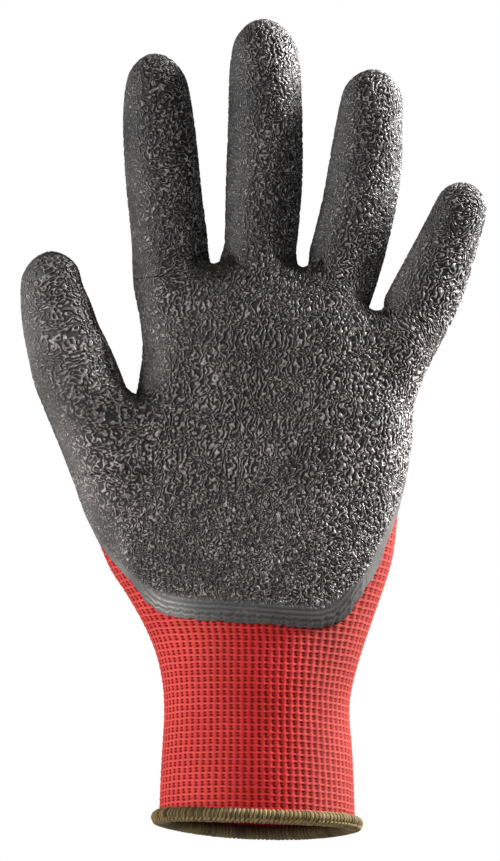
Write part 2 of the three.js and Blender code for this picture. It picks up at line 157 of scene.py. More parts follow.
skinPlan = {
    "stripTop": 2.3 * mm,      # the rim strip between the two walls of the node lies below this
    # across and up, the move aside and up, and its reach, in mm: the palm's edges, the four fingertips
    # from the index on, and the lower halves of the index and ring fingers
    "nudges": ((-58, 112, 1.3, 0, 15), (-47.5, 85, -1.8, 0, 9), (46, 112, 0.8, 0, 20),
               (-31, 228, -0.8, 0.3, 13), (2, 240, -0.5, 0.9, 11), (34.5, 226, 0.7, 0, 9),
               (61.5, 188, 0.9, 0.2, 12), (-27, 181, 0.7, 0, 13), (28, 176, -1.2, 0, 12)),
    "mapLevels": 2,            # subdivisions before the latex border is found
    "fineLevels": 1,           # subdivisions after it
    # across and up, in mm, and how deep the painted shade in the latex is there: the webs between the fingers
    "webs": ((-36.6, 130.6, 0.9), (-12.9, 170, 1), (12.9, 169, 1), (34.8, 156, 0.6)),
    "webReach": 5.5 * mm,
    "webRounds": 10,
    "webShare": 0.6,           # of the way to its neighbours' middle, which a point moves in a round
    # across, up and lift of the middle, and the rise from there to the fingers, in mm
    "arches": ((-12.7, 167, 0.3, 2.9), (13.7, 167, -0.4, 2.9), (34.9, 155.5, -0.4, 1.3),
               (-36.6, 131, -1.1, 0.5)),
    # half the width of an arch in mm, and how far it fades out aside, above and below
    "archHalf": 2.7,
    "archFade": (3.4, 7.0),
    "archAbove": 15,
    "archBelow": 12,
}


# A copy of the knitted node, welded and in quads.
def copyLiner(name):
    copy = newPiece(name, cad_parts["knitted_liner"].data.copy())
    copy.data.materials.clear()
    editAll()
    bpy.ops.mesh.remove_doubles(threshold=0.01 * mm)
    bpy.ops.mesh.tris_convert_to_quads(face_threshold=3.1, shape_threshold=3.1, topology_influence=1.6)
    bpy.ops.mesh.select_all(action="DESELECT")
    bpy.ops.mesh.select_mode(type="FACE")
    leaveEdit()
    return copy


# The node's outer wall and its inner one.
def makeSkin():
    skin = copyLiner("skin")
    for face in skin.data.polygons:
        face.select = face.center.z < skinPlan["stripTop"]
    bpy.ops.object.mode_set(mode="EDIT")
    bpy.ops.mesh.delete(type="FACE")
    bpy.ops.mesh.select_all(action="SELECT")
    bpy.ops.mesh.separate(type="LOOSE")
    leaveEdit()
    walls = [skin] + [obj for obj in bpy.context.selected_objects if obj is not skin]
    return sorted(walls, key=lambda wall: placesOf(wall.data)[:, 0].min())


# Brings a wall's outline nearer to the photo's, by a millimetre or so.
def nudge(mesh):
    places = placesOf(mesh)
    moved = places.copy()
    for across, up, aside, rise, reach in skinPlan["nudges"]:
        away = np.hypot(places[:, 0] / mm - across, places[:, 2] / mm - up)
        share = np.exp(-(away / reach) ** 2) * mm
        moved[:, 0] += aside * share
        moved[:, 2] += rise * share
    movePlaces(mesh, moved)


# Bends the flat webs into arches from finger to finger, and smooths their corners.
def roundWebs(mesh):
    places, edges = placesOf(mesh), edgesOf(mesh)
    for across, up, lift, rise in skinPlan["arches"]:
        away = np.abs(places[:, 0] / mm - across)
        above = places[:, 2] / mm - up
        arch = lift + rise * np.clip(away / skinPlan["archHalf"], 0, 1.2) ** 2
        arch = arch * (1 - ease(away, *skinPlan["archFade"])) * (1 - ease(above, 0, skinPlan["archAbove"]))
        places[:, 2] += arch * (1 - ease(-above, 0, skinPlan["archBelow"])) * mm
    count = np.bincount(edges.ravel(), minlength=len(places))[:, None]
    near = np.zeros(len(places))
    for across, up, _ in skinPlan["webs"]:
        near = np.maximum(near, np.exp(-(awayFrom(places, across, up) / skinPlan["webReach"]) ** 2))
    for _ in range(skinPlan["webRounds"]):
        total = np.zeros_like(places)
        np.add.at(total, edges[:, 0], places[edges[:, 1]])
        np.add.at(total, edges[:, 1], places[edges[:, 0]])
        places = places + skinPlan["webShare"] * near[:, None] * (total / count - places)
    movePlaces(mesh, places)


outerWall, innerWall = makeSkin()
nudge(outerWall.data)
nudge(innerWall.data)
print("skin", len(outerWall.data.polygons), len(innerWall.data.polygons))


knitPlan = {
    "wales": 72,
    "pitch": 2.1,              # of the wales and of the courses, in mm
    "tilt": -0.036,            # rise of the hem, and of the courses by it, towards the little finger's side
    # height, middle and half the width and the depth of the hand without its thumb, in mm
    "heights": (0, 20, 40, 56, 72, 86, 108, 132, 151, 175),
    "middles": (0, 0, 0, 0.3, -1, -2, 0, 4.5, 7, 7.6),
    "widths": (29.2, 28, 27.8, 30.5, 36, 40, 43, 43.5, 43, 43),
    "depths": (22, 21, 20, 18.9, 17.3, 15.6, 14.5, 14.2, 13.5, 13),
    "flatness": (0.25, 0.8, 12),    # of the ovals that are tabled: the least, the most and how many
    # a finger's own wales fade out between these, in half widths from its middle line, and in between these,
    # in mm up from its root
    "fingerReach": (1.12, 1.35),
    "fingerRise": (-6, 10),
    "rowMiddle": 7,            # of the fingers' roots, in mm, and how wide the front and back are together
    "rowSpan": 150,
}
fingerAxes = {
    # root and tip of the middle line, and half the width, in mm
    "index": {"root": (-25.3, 0, 166), "tip": (-30, -4, 232), "half": 10},
    "middle": {"root": (0.6, 0, 169), "tip": (2, -4, 243), "half": 10.1},
    "ring": {"root": (24.5, 0, 162), "tip": (34, -4, 228), "half": 9.8},
    "little": {"root": (44.2, 0, 149), "tip": (62, -3, 193.5), "half": 9.1},
}
thumbAxis = {"root": (-45, -2, 114), "tip": (-64, -4, 172), "half": 10.5}


# Turns round an oval from the middle of the back, and the share of its way round at each.
def ovalShares(flatness, count=1441):
    turns = np.linspace(-math.pi, math.pi, count)
    steps = np.hypot(np.diff(np.sin(turns)), np.diff(np.cos(turns)) * flatness)
    along = np.concatenate([[0], np.cumsum(steps)])
    return turns, along / along[-1] - 0.5


def handOval(height):
    return [np.interp(height, knitPlan["heights"], knitPlan[key])
            for key in ("middles", "widths", "depths")]


# Places in mm to wales and courses.
def knitMap(places, axes):
    x, y, z = places.T
    middle, half, depth = handOval(z)
    turn = np.arctan2((x - middle) / half, y / depth)
    flat = depth / half
    grades = np.linspace(*knitPlan["flatness"])
    tables = [ovalShares(grade) for grade in grades]
    shares = np.array([np.interp(turn, turns, table) for turns, table in tables])
    at = np.clip((flat - grades[0]) / (grades[1] - grades[0]), 0, len(grades) - 1.001)
    low = at.astype(int)
    order = np.arange(len(at))
    share = shares[low, order] * (1 - at + low) + shares[low + 1, order] * (at - low)
    wale = share * knitPlan["wales"]
    course = z / knitPlan["pitch"]
    lastWale = knitPlan["wales"] / 2
    for axisPlan in axes:
        root = np.array(axisPlan["root"])
        axis = np.array(axisPlan["tip"]) - root
        axis = axis / np.linalg.norm(axis)
        aside = np.cross((0, 1, 0), axis)
        aside = aside / np.linalg.norm(aside)
        back = np.cross(axis, aside)
        local = places - root
        up, right, out = local @ axis, local @ aside, local @ back
        inner, outer = (reach * axisPlan["half"] for reach in knitPlan["fingerReach"])
        near = 1 - ease(np.hypot(right, out), inner, outer)
        share = ease(up, *knitPlan["fingerRise"]) * near
        turn = np.arctan2(right, out)
        rootShare = 0.5 + (root[0] - knitPlan["rowMiddle"]) / knitPlan["rowSpan"]
        rootWale = np.interp(rootShare, (0, 1), (-lastWale, lastWale))
        ownWale = rootWale + turn * axisPlan["half"] / knitPlan["pitch"]
        ownCourse = (root[2] + up) / knitPlan["pitch"]
        wale = wale * (1 - share) + ownWale * share
        course = course * (1 - share) + ownCourse * share
    return wale, course


knitCell = {
    # in shares of the cell: middle across and up, and reach across and up, of its two holes
    "lowHole": (0.62, 0.36, 0.29, 0.15),
    "highHole": (0.66, 0.78, 0.25, 0.13),
    "line": 0.12,              # reach of the line along its lower and upper edges
    "column": (0.14, 0.2),     # middle and reach of the column of yarn
    "lineHeight": 0.35,
    "columnHeight": 0.3,
    # the gap that slants between the holes: its rise, start and reach, then its middle, between which
    # distances from there it fades out, and its depth
    "gap": (0.55, 0.21, 0.09),
    "gapSpan": (0.67, 0.12, 0.3),
    "gapDepth": 0.8,
}


# The height of one knitted cell, from -1 in its two holes to 0.65 where the line crosses the column.
def knitHeight(wale, course):
    across = wale - np.floor(wale)
    up = course - np.floor(course)
    holes = 0
    for x, y, wide, tall in (knitCell["lowHole"], knitCell["highHole"]):
        holes = holes + np.exp(-((across - x) / wide) ** 2 - ((up - y) / tall) ** 2)
    line = np.exp(-(np.minimum(up, 1 - up) / knitCell["line"]) ** 2)
    middle, reach = knitCell["column"]
    column = np.exp(-((across - middle) / reach) ** 2)
    return knitCell["lineHeight"] * line + knitCell["columnHeight"] * column - np.minimum(holes, 1.0)


class Tree:
    def __init__(self, nodeTree):
        self.tree = nodeTree

    def node(self, kind, inputs=(), **settings):
        made = self.tree.nodes.new(kind)
        for key, value in settings.items():
            setattr(made, key, value)
        for key, value in dict(inputs).items():
            socket = made.inputs[key]
            if isinstance(value, bpy.types.NodeSocket):
                self.tree.links.new(value, socket)
            else:
                socket.default_value = value
        return made

    def math(self, operation, first, second=0.0, third=0.0):
        made = self.node("ShaderNodeMath", {0: first, 1: second, 2: third}, operation=operation)
        return made.outputs[0]

    def times(self, first, second):
        return self.math("MULTIPLY", first, second)

    def timesPlus(self, first, second, third):
        return self.math("MULTIPLY_ADD", first, second, third)

    def plus(self, first, second):
        return self.math("ADD", first, second)

    def minus(self, first, second):
        return self.math("SUBTRACT", first, second)

    def ramp(self, value, stops):
        made = self.node("ShaderNodeValToRGB", {"Fac": value})
        elements = made.color_ramp.elements
        while len(elements) < len(stops):
            elements.new(0.5)
        for element, (place, colour) in zip(elements, stops):
            element.position = place
            element.color = (*colour, 1)
        return made.outputs["Color"]

    def range(self, value, fromLow, fromHigh, toLow=0.0, toHigh=1.0, smooth=True):
        kind = "SMOOTHSTEP" if smooth else "LINEAR"
        made = self.node("ShaderNodeMapRange", {0: value, 1: fromLow, 2: fromHigh, 3: toLow, 4: toHigh},
                         interpolation_type=kind)
        return made.outputs[0]

    def mix(self, share, first, second, blend="MIX"):
        made = self.node("ShaderNodeMix", data_type="RGBA", blend_type=blend)
        for index, value in ((0, share), (6, first), (7, second)):
            if isinstance(value, bpy.types.NodeSocket):
                self.tree.links.new(value, made.inputs[index])
            elif index == 0:
                made.inputs[index].default_value = value
            else:
                made.inputs[index].default_value = (*value, 1)
        return made.outputs[2]

    def noise(self, vector, scale, detail):
        made = self.node("ShaderNodeTexNoise", {"Vector": vector, "Scale": scale, "Detail": detail})
        return made.outputs[0]

    def bump(self, strength, distance, height, **under):
        return self.node("ShaderNodeBump", {"Strength": strength, "Distance": distance, "Height": height,
                                            **under}).outputs[0]

    def stored(self, name):
        return self.node("ShaderNodeAttribute", attribute_name=name).outputs["Fac"]


def newMaterial(name, colour, settings):
    material = bpy.data.materials.new(name)
    material.use_nodes = True
    material.diffuse_color = (*colour, 1)
    tree = Tree(material.node_tree)
    shader = material.node_tree.nodes["Principled BSDF"]
    for key, value in {"Base Color": (*colour, 1), **settings}.items():
        shader.inputs[key].default_value = value
    return material, tree, shader


def fit(tree, shader, key, socket):
    tree.tree.links.new(socket, shader.inputs[key])


latexPlan = {
    "clearance": 0.3 * mm,     # from the knitted skin to the underside of the film
    "film": 1.0 * mm,
    "rimFilm": 0.3 * mm,       # the film at its very edge
    "rimSlope": 3.0 * mm,      # over which it reaches its full thickness
    "nearNode": 2.0 * mm,      # the skin counts as covered this close to the node's underside
    "borderShift": 0.9 * mm,
    "borderRounds": 15,        # smoothing of the border line
    "sharp": 1.0,              # radians: the node's own border is where its faces meet more sharply
    "rimSteps": 8,             # points to an edge of that border
    "coverLimit": 14 * mm,     # distances from the border are told apart up to here
    "edgeFrom": 70 * mm,       # the rules for the lower edge fade out from here up
    "edgeTo": 86 * mm,
    "edgePivot": -12 * mm,     # across: the slope leaves the edge where it is here
    "edgeSlope": 0.07,         # the lower edge sinks this much towards the little finger's side
    "edgeDrop": 1.1 * mm,
    "ragged": 0.4 * mm,        # how far its edge wanders from one wale to the next
    "raggedTurns": (2.9, 0.83),
    "raggedTop": 75 * mm,
    # across, up, and how much further out the edge's corners lie, in mm
    "corners": ((-32, 69, 3.2), (33, 71, -3.8), (43, 92, -1.5)),
    "cornerReach": 9 * mm,
    "innerShare": 0.1,         # of the quads are kept on the underside
    "relief": 0.5 * mm,
    "bandHeight": 5.6 * mm,    # the smooth band along the lower edge, and along the sides
    "sideBand": 2.4 * mm,
    "bandFrom": 68 * mm,       # the band narrows between these heights
    "bandTo": 76 * mm,
    "ribPitch": 1.35 * mm,
    "ribRelief": 0.12 * mm,
    "webShade": 8 * mm,        # how far the painted shade at the webs reaches
}
crinklePlan = {
    "folds": 1.9,              # to a wale
    "zigzags": 0.36,           # to a millimetre up
    "swayScale": 0.15,         # of the noise that shifts them, and how far, in radians
    "sway": 28,
    "wideScale": 0.3,          # of the noise behind the slow bends and the short ones
    "closeScale": 0.62,
    # how far the folds wander, in folds: by zigzags, by slow bends, by short ones, and by how much more of
    # these where the folds aren't steady
    "zigzagReach": 0.3,
    "wideReach": 2.4,
    "closeReach": 2.1,
    "randomReach": 2.7,
    "steadyFrom": (82, 112),   # heights in mm between which the folds become steady, and less so again
    "steadyTo": (160, 182),
    "trough": -0.55,           # the wave below this is flat ground
}


# How far inside the latex each point of the skin lies, in metres, and below nil outside it.
def latexCover(mesh):
    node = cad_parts["latex_coating"].data
    corners = [tuple(vertex.co) for vertex in node.vertices]
    faces = [tuple(face.vertices) for face in node.polygons]
    tree = BVHTree.FromPolygons(corners, faces)
    film = bmesh.new()
    film.from_mesh(node)
    bmesh.ops.remove_doubles(film, verts=film.verts, dist=0.01 * mm)
    rim = []
    for edge in film.edges:
        if len(edge.link_faces) == 2 and edge.calc_face_angle(0) > latexPlan["sharp"]:
            first, second = edge.verts[0].co, edge.verts[1].co
            steps = latexPlan["rimSteps"]
            rim.extend(first.lerp(second, step / steps) for step in range(steps))
    film.free()
    nearRim = KDTree(len(rim))
    for index, point in enumerate(rim):
        nearRim.insert(point, index)
    nearRim.balance()
    cover = np.empty(len(mesh.vertices))
    for index, vertex in enumerate(mesh.vertices):
        distance = nearRim.find(vertex.co)[2]
        covered = tree.find_nearest(vertex.co)[3] < latexPlan["nearNode"]
        cover[index] = distance if covered else -distance
    cover = np.clip(cover - latexPlan["borderShift"], -latexPlan["coverLimit"], latexPlan["coverLimit"])
    cover = smoothed(mesh, cover, latexPlan["borderRounds"])
    places = placesOf(mesh)
    low = ease(-places[:, 2], -latexPlan["edgeTo"], -latexPlan["edgeFrom"]) * (places[:, 1] < 0)
    across = places[:, 0] - latexPlan["edgePivot"]
    cover = cover + (across * latexPlan["edgeSlope"] + latexPlan["edgeDrop"]) * low
    for across, up, more in latexPlan["corners"]:
        away = awayFrom(places, across, up) / latexPlan["cornerReach"]
        cover = cover + more * mm * np.exp(-away ** 2) * (places[:, 1] < 2 * mm)
    return cover


# Moves the points beside the border onto it, and deletes what lies outside.
def trimToCover(mesh):
    places, edges, cover = placesOf(mesh), edgesOf(mesh), numberOf(mesh, "cover").astype(float)
    quick, slow = latexPlan["raggedTurns"]
    wander = np.sin(places[:, 0] / mm * quick) * np.sin(places[:, 0] / mm * slow + 1)
    near = (places[:, 2] < latexPlan["raggedTop"]) * (np.abs(cover) < 3 * mm)
    cover += wander * latexPlan["ragged"] * near
    ends = cover[edges]
    best = {}
    for first, second in edges[ends[:, 0] * ends[:, 1] < 0]:
        near, far = (first, second) if abs(cover[first]) <= abs(cover[second]) else (second, first)
        share = abs(cover[near]) / (abs(cover[near]) + abs(cover[far]))
        if near not in best or share < best[near][0]:
            best[near] = (share, far)
    moved = places.copy()
    for near, (share, far) in best.items():
        moved[near] = places[near] * (1 - share) + places[far] * share
        cover[near] = 0
    movePlaces(mesh, moved)
    keepNumber(mesh, "cover", cover)
    trimmed = bmesh.new()
    trimmed.from_mesh(mesh)
    trimmed.verts.ensure_lookup_table()
    outside = [vertex for vertex in trimmed.verts if cover[vertex.index] < 0]
    bmesh.ops.delete(trimmed, geom=outside, context="VERTS")
    trimmed.to_mesh(mesh)
    trimmed.free()


# The height of the crinkle from 0 to 1 at a place on the smooth skin, where fold counts wales from the middle
# of the palm. The modifier and the material both use it.
def crinkleHeight(tree, place, fold):
    perMetre = (1000, 1000, 1000)
    cloth = tree.node("ShaderNodeVectorMath", {0: place, 1: perMetre}, operation="MULTIPLY").outputs[0]
    height = tree.node("ShaderNodeSeparateXYZ", {0: cloth}).outputs[2]
    steady = tree.times(tree.range(height, *crinklePlan["steadyFrom"], 0.0, 1.0),
                        tree.range(height, *crinklePlan["steadyTo"], 1.0, 0.4))
    sway = tree.noise(cloth, crinklePlan["swayScale"], detail=0.0)
    turns = tree.plus(tree.times(height, crinklePlan["zigzags"] * 2 * math.pi),
                      tree.times(sway, crinklePlan["sway"]))
    zigzag = tree.times(tree.math("SINE", turns), crinklePlan["zigzagReach"])
    wide = tree.minus(tree.noise(cloth, crinklePlan["wideScale"], detail=1.0), 0.5)
    close = tree.minus(tree.noise(cloth, crinklePlan["closeScale"], detail=0.6), 0.5)
    astray = tree.timesPlus(tree.minus(1.0, steady), crinklePlan["randomReach"], crinklePlan["closeReach"])
    folds = tree.timesPlus(fold, crinklePlan["folds"], zigzag)
    folds = tree.timesPlus(wide, crinklePlan["wideReach"], folds)
    folds = tree.timesPlus(close, astray, folds)
    wave = tree.math("COSINE", tree.times(folds, 2 * math.pi))
    return tree.range(wave, crinklePlan["trough"], 1.0)


# Stores the height of the crinkle at each point, and where the point lies on the smooth skin.
def crinkleModifier(piece):
    group = bpy.data.node_groups.new("crinkle", "GeometryNodeTree")
    group.interface.new_socket("Geometry", in_out="INPUT", socket_type="NodeSocketGeometry")
    group.interface.new_socket("Geometry", in_out="OUTPUT", socket_type="NodeSocketGeometry")
    tree = Tree(group)
    source = tree.node("NodeGroupInput").outputs[0]
    place = tree.node("GeometryNodeInputPosition").outputs[0]
    fold = tree.node("GeometryNodeInputNamedAttribute", {"Name": "fold"}, data_type="FLOAT").outputs[0]
    height = crinkleHeight(tree, place, fold)
    for name, value, kind in (("crinkle", height, "FLOAT"), ("skinPlace", place, "FLOAT_VECTOR")):
        source = tree.node("GeometryNodeStoreNamedAttribute",
                           {"Geometry": source, "Name": name, "Value": value},
                           data_type=kind, domain="POINT").outputs[0]
    tree.node("NodeGroupOutput", {0: source})
    applyModifier(piece, "NODES", node_group=group)


# Puts a smooth underside below an open sheet of film that stands at these heights.
def addUnderside(piece, height):
    thickness = piece.vertex_groups.new(name="thickness")
    for index, share in enumerate((height - latexPlan["clearance"]) / latexPlan["film"]):
        thickness.add((index,), float(share), "REPLACE")
    thicken(piece, 0.5 + latexPlan["innerShare"] / 2, thickness=latexPlan["film"], use_even_offset=False,
            vertex_group="thickness")


def makeLatexSheet():
    sheet = newPiece("latexSheet", outerWall.data.copy())
    trimToCover(sheet.data)
    subdivided(sheet, 1)
    mesh = sheet.data
    fold, _ = knitMap(placesOf(mesh) / mm * (1, -1, 1), [*fingerAxes.values(), thumbAxis])
    keepNumber(mesh, "fold", fold)
    crinkleModifier(sheet)
    mesh = sheet.data
    places = placesOf(mesh)
    cover = numberOf(mesh, "cover")
    crinkle = numberOf(mesh, "crinkle")
    normals = normalsOf(mesh)
    low = ease(-places[:, 2], -latexPlan["bandTo"], -latexPlan["bandFrom"])
    front = ease(-normals[:, 1], 0.2, 0.6)
    band = latexPlan["sideBand"] + (latexPlan["bandHeight"] - latexPlan["sideBand"]) * low * front
    # Nearness to the webs between the fingers, and the painted shade there, deeper where a web's share is
    # larger.
    web, dark = np.zeros(len(places)), np.zeros(len(places))
    for across, up, share in skinPlan["webs"]:
        near = np.exp(-(awayFrom(places, across, up - 1) / latexPlan["webShade"]) ** 2)
        web = np.maximum(web, near)
        dark = np.maximum(dark, share * near)
    band = band * (1 - np.clip(web * 1.6, 0, 0.95))
    crinkled = ease(cover, band * 0.75, band * 1.25 + 1.0 * mm)
    ribbed = low * front * (1 - crinkled) * ease(cover, 0.4 * mm, 1.4 * mm)
    ribs = np.cos(2 * math.pi * cover / latexPlan["ribPitch"]) * ribbed
    top = latexPlan["clearance"] + latexPlan["film"]
    thin = latexPlan["clearance"] + latexPlan["rimFilm"]
    smooth = thin + (top - thin) * ease(cover, 0, latexPlan["rimSlope"])
    height = smooth + (crinkle - 0.5) * latexPlan["relief"] * crinkled + ribs * latexPlan["ribRelief"]
    # sideways holds how far each normal points to either side; the material paints sheen and highlights by
    # it.
    for name, values in (("height", height), ("crinkled", crinkled), ("web", dark),
                         ("sideways", normals[:, 0]), ("ribbed", ribbed)):
        keepNumber(mesh, name, values)
    movePlaces(mesh, places + normals * height[:, None])
    return sheet


latexParts = {
    # each part's name, and the test that its faces' centres pass, in mm; a face goes to the first it passes
    "latexThumb": lambda x, z: z > 106 and x < -32 and x + 0.42 * (z - 128) < -37.5,
    "latexFingers": lambda x, z: z > 166 and x < 13,
    "latexOuterFingers": lambda x, z: z > 166 - 0.0125 * max(0, x - 4) ** 2 and x >= 13,
    "latexPalm": lambda x, z: True,
}


def makeLatex(material):
    sheet = makeLatexSheet()
    owners = []
    for face in sheet.data.polygons:
        x, _, z = face.center / mm
        owners.append(next(index for index, holds in enumerate(latexParts.values()) if holds(x, z)))
    for index, name in enumerate(latexParts):
        part = newPiece(name, sheet.data.copy())
        deleteFaces(part.data, [owner != index for owner in owners])
        addUnderside(part, numberOf(part.data, "height"))
        part.data.materials.append(material)
        activate(part)
        bpy.ops.object.shade_smooth_by_angle(angle=math.radians(80))
        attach(part, "root")
        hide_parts("latex_coating")
        tell(part)
    bpy.data.objects.remove(sheet)


latexLook = {
    "base": (0.07, 0.068, 0.068),
    # height of the crinkle and its colour, from the ground between the folds to their crests: painted shade
    # in the troughs, painted light on the crests
    "folds": ((0.0, (0.0092, 0.0080, 0.0074)), (0.25, (0.035, 0.0314, 0.0298)), (0.6, (0.119, 0.1085, 0.105)),
              (0.95, (0.235, 0.218, 0.212))),
    "paintedSheen": (0.105, 0.1025, 0.1005),    # painted sheen of light over the left side and the thumb
    # painted highlights on the crests of the folds
    "glint": (0.42, 0.42, 0.42),
    # painted shade, nearly black, in the webs between the fingers
    "web": (0.011, 0.0104, 0.0072),
    # a warm tint on the palm, and on the fingers painted shade that darkens them
    "palmTint": (1.03, 0.985, 0.96),
    "fingerShade": (0.70, 0.705, 0.71),
    "fingersFrom": (0.14, 0.18),        # heights in metres between which the fingers' painted shade comes in
    # scale and detail of the noises for patches, spots, flakes and grain
    "noises": ((60.0, 3.0), (640.0, 1.0), (1150.0, 1.0), (2600.0, 2.0)),
    "foldDepth": 0.25 * mm,
    "grainDepth": 0.05 * mm,
}


def latexMaterial():
    material, tree, shader = newMaterial("greyCrinkledLatex", latexLook["base"],
                                         {"Roughness": 0.42, "Specular IOR Level": 0.38})
    place = tree.node("ShaderNodeAttribute", attribute_name="skinPlace").outputs["Vector"]
    crinkled = tree.stored("crinkled")
    web = tree.stored("web")
    across, _, up = tree.node("ShaderNodeSeparateXYZ", {0: place}).outputs
    height = crinkleHeight(tree, place, tree.stored("fold"))
    patches, spots, flakes, grain = (tree.noise(place, *noise) for noise in latexLook["noises"])
    flakes = tree.range(flakes, 0.36, 0.66, 0.42, 1.12)
    # The folds' colour: painted shade in the troughs between them and painted light on their crests, with
    # more contrast on the fingers.
    onFingers = tree.range(up, *latexLook["fingersFrom"])
    crest = tree.math("POWER", height, tree.plus(1.0, tree.times(onFingers, 0.7)))
    crest = tree.times(crest, flakes)
    folds = tree.ramp(crest, latexLook["folds"])
    # Painted light: the latex is washed towards a light grey sheen where its surface faces left, and on the
    # thumb, as if lit from that side.
    sideways = tree.stored("sideways")
    thumb = tree.times(tree.range(across, -0.056, -0.044, 0.2, 0.0), tree.range(up, 0.11, 0.125))
    paintedSheen = tree.plus(tree.range(sideways, -0.95, -0.25, 0.6, 0.0), thumb)
    withPaintedSheen = tree.mix(paintedSheen, folds, latexLook["paintedSheen"])
    # Painted highlights: bright spots on the crests, more and brighter where the surface faces right.
    rightGlintShare = tree.range(sideways, 0.25, 0.8)
    glint = tree.times(tree.range(tree.timesPlus(rightGlintShare, 0.13, spots), 0.6, 0.7),
                       tree.range(height, 0.75, 1.0))
    glint = tree.times(glint, tree.timesPlus(rightGlintShare, 0.4, 0.55))
    glinting = tree.mix(glint, withPaintedSheen, latexLook["glint"])
    # The smooth band's grey: painted light towards its left and right sides, painted shade in the troughs of
    # its ribs, and a painted highlight along the ribs on the left.
    left = tree.range(across, -0.032, -0.006, 0.16, 0.052)
    right = tree.plus(left, tree.range(across, 0.026, 0.036, 0.0, 0.09))
    turn = tree.times(tree.stored("cover"), 2 * math.pi / latexPlan["ribPitch"])
    rib = tree.times(tree.math("COSINE", turn), tree.stored("ribbed"))
    shine = tree.times(tree.range(rib, 0.7, 1.0), tree.range(across, -0.030, -0.008, 1.2, 0.0))
    shine = tree.times(shine, tree.range(spots, 0.4, 0.6))
    ribbed = tree.times(right, tree.plus(tree.range(rib, -1.0, 1.0, 0.6, 1.15), shine))
    ribbedBlue = tree.times(ribbed, 0.97)
    film = tree.node("ShaderNodeCombineColor", {0: ribbed, 1: ribbed, 2: ribbedBlue}).outputs[0]
    colour = tree.mix(crinkled, film, glinting)
    # A warm tint on the palm; on the fingers, painted shade makes the latex darker and slightly cooler.
    tintAndShade = tree.mix(onFingers, latexLook["palmTint"], latexLook["fingerShade"])
    # Random patches, and painted shade that darkens the latex towards the webs.
    shade = tree.times(tree.range(patches, 0.3, 0.7, 0.72, 1.28),
                       tree.range(web, 0.0, 1.0, 1.0, 0.2))
    # Painted light: the latex is lighter along the palm's lower left edge and at the thumb's tip, as if lit
    # from the left.
    paintedLeftLight = tree.times(tree.range(across, -0.046, -0.030, 0.45, 0.0),
                      tree.range(up, 0.105, 0.13, 1.0, 0.0))
    tip = tree.times(tree.range(across, -0.056, -0.048, 0.2, 0.0), tree.range(up, 0.13, 0.15))
    shade = tree.times(shade, tree.plus(tree.plus(paintedLeftLight, tip), 1.0))
    greyed = tree.node("ShaderNodeCombineColor", {0: shade, 1: shade, 2: shade}).outputs[0]
    toned = tree.mix(1.0, tree.mix(1.0, colour, greyed, blend="MULTIPLY"), tintAndShade, blend="MULTIPLY")
    # Painted shade: the latex turns nearly black right in the webs.
    toned = tree.mix(tree.range(web, 0.62, 0.86, 0.0, 0.85), toned, latexLook["web"])
    raised = tree.times(tree.timesPlus(flakes, 0.35, height), crinkled)
    foldBump = tree.bump(0.8, latexLook["foldDepth"], raised)
    fit(tree, shader, "Base Color", toned)
    fit(tree, shader, "Roughness", tree.range(height, 0.3, 1.0, 0.5, 0.27))
    fit(tree, shader, "Normal", tree.bump(0.4, latexLook["grainDepth"], grain, Normal=foldBump))
    return material


subdivided(outerWall, skinPlan["mapLevels"])
roundWebs(outerWall.data)
keepNumber(outerWall.data, "cover", latexCover(outerWall.data))
subdivided(outerWall, skinPlan["fineLevels"])
print("fine skin", len(outerWall.data.polygons))
makeLatex(latexMaterial())


linerPlan = {
    "relief": 0.42 * mm,
    "columns": 5,              # points to a wale, and to a course
    "bottom": 2.4,             # of the relief, in mm
    "top": 149.1,
    "underLatex": 2.6 * mm,    # how far the relief runs on under the latex
    "sheet": 0.45 * mm,
    "recess": 0.75 * mm,       # of the plain wall behind the relief
    "bodyShare": 0.525,        # of the faces are kept when the sheet's back is made coarse
    "fingerShare": 0.54,
    "lap": 1.2 * mm,           # the fingers' knitting starts this far below the body's top
    "tuck": 0.6 * mm,          # and lies this far in there
}


def finishKnit(piece, material):
    piece.data.materials.append(material)
    activate(piece)
    bpy.ops.object.shade_smooth_by_angle(angle=math.radians(75))
    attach(piece, "root")
    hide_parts("knitted_liner")
    tell(piece)


def linerInside(material):
    wall = copyLiner("linerInside")
    wall.data.update()
    subdivided(wall, 2)
    places, normals = placesOf(wall.data), normalsOf(wall.data)
    nearSkin = BVHTree.FromObject(outerWall, bpy.context.evaluated_depsgraph_get())
    outer = np.array([nearSkin.find_nearest(Vector(place))[3] < 0.5 * mm for place in places])
    movePlaces(wall.data, places - normals * (outer * linerPlan["recess"])[:, None])
    finishKnit(wall, material)


# Wales and courses that are a little uneven, alike at both ends of a round, and parallel to the hem below.
def wandered(wale, course, across):
    lap = 2 * math.pi / knitPlan["wales"]
    cloud = np.sin(wale * lap * 19) * np.sin(course * 1.3 + wale * lap * 4)
    lean = (1 - ease(course * knitPlan["pitch"], 60, 140)) * knitPlan["tilt"] * across / knitPlan["pitch"]
    return wale + 0.05 * cloud, course + 0.05 * cloud - lean


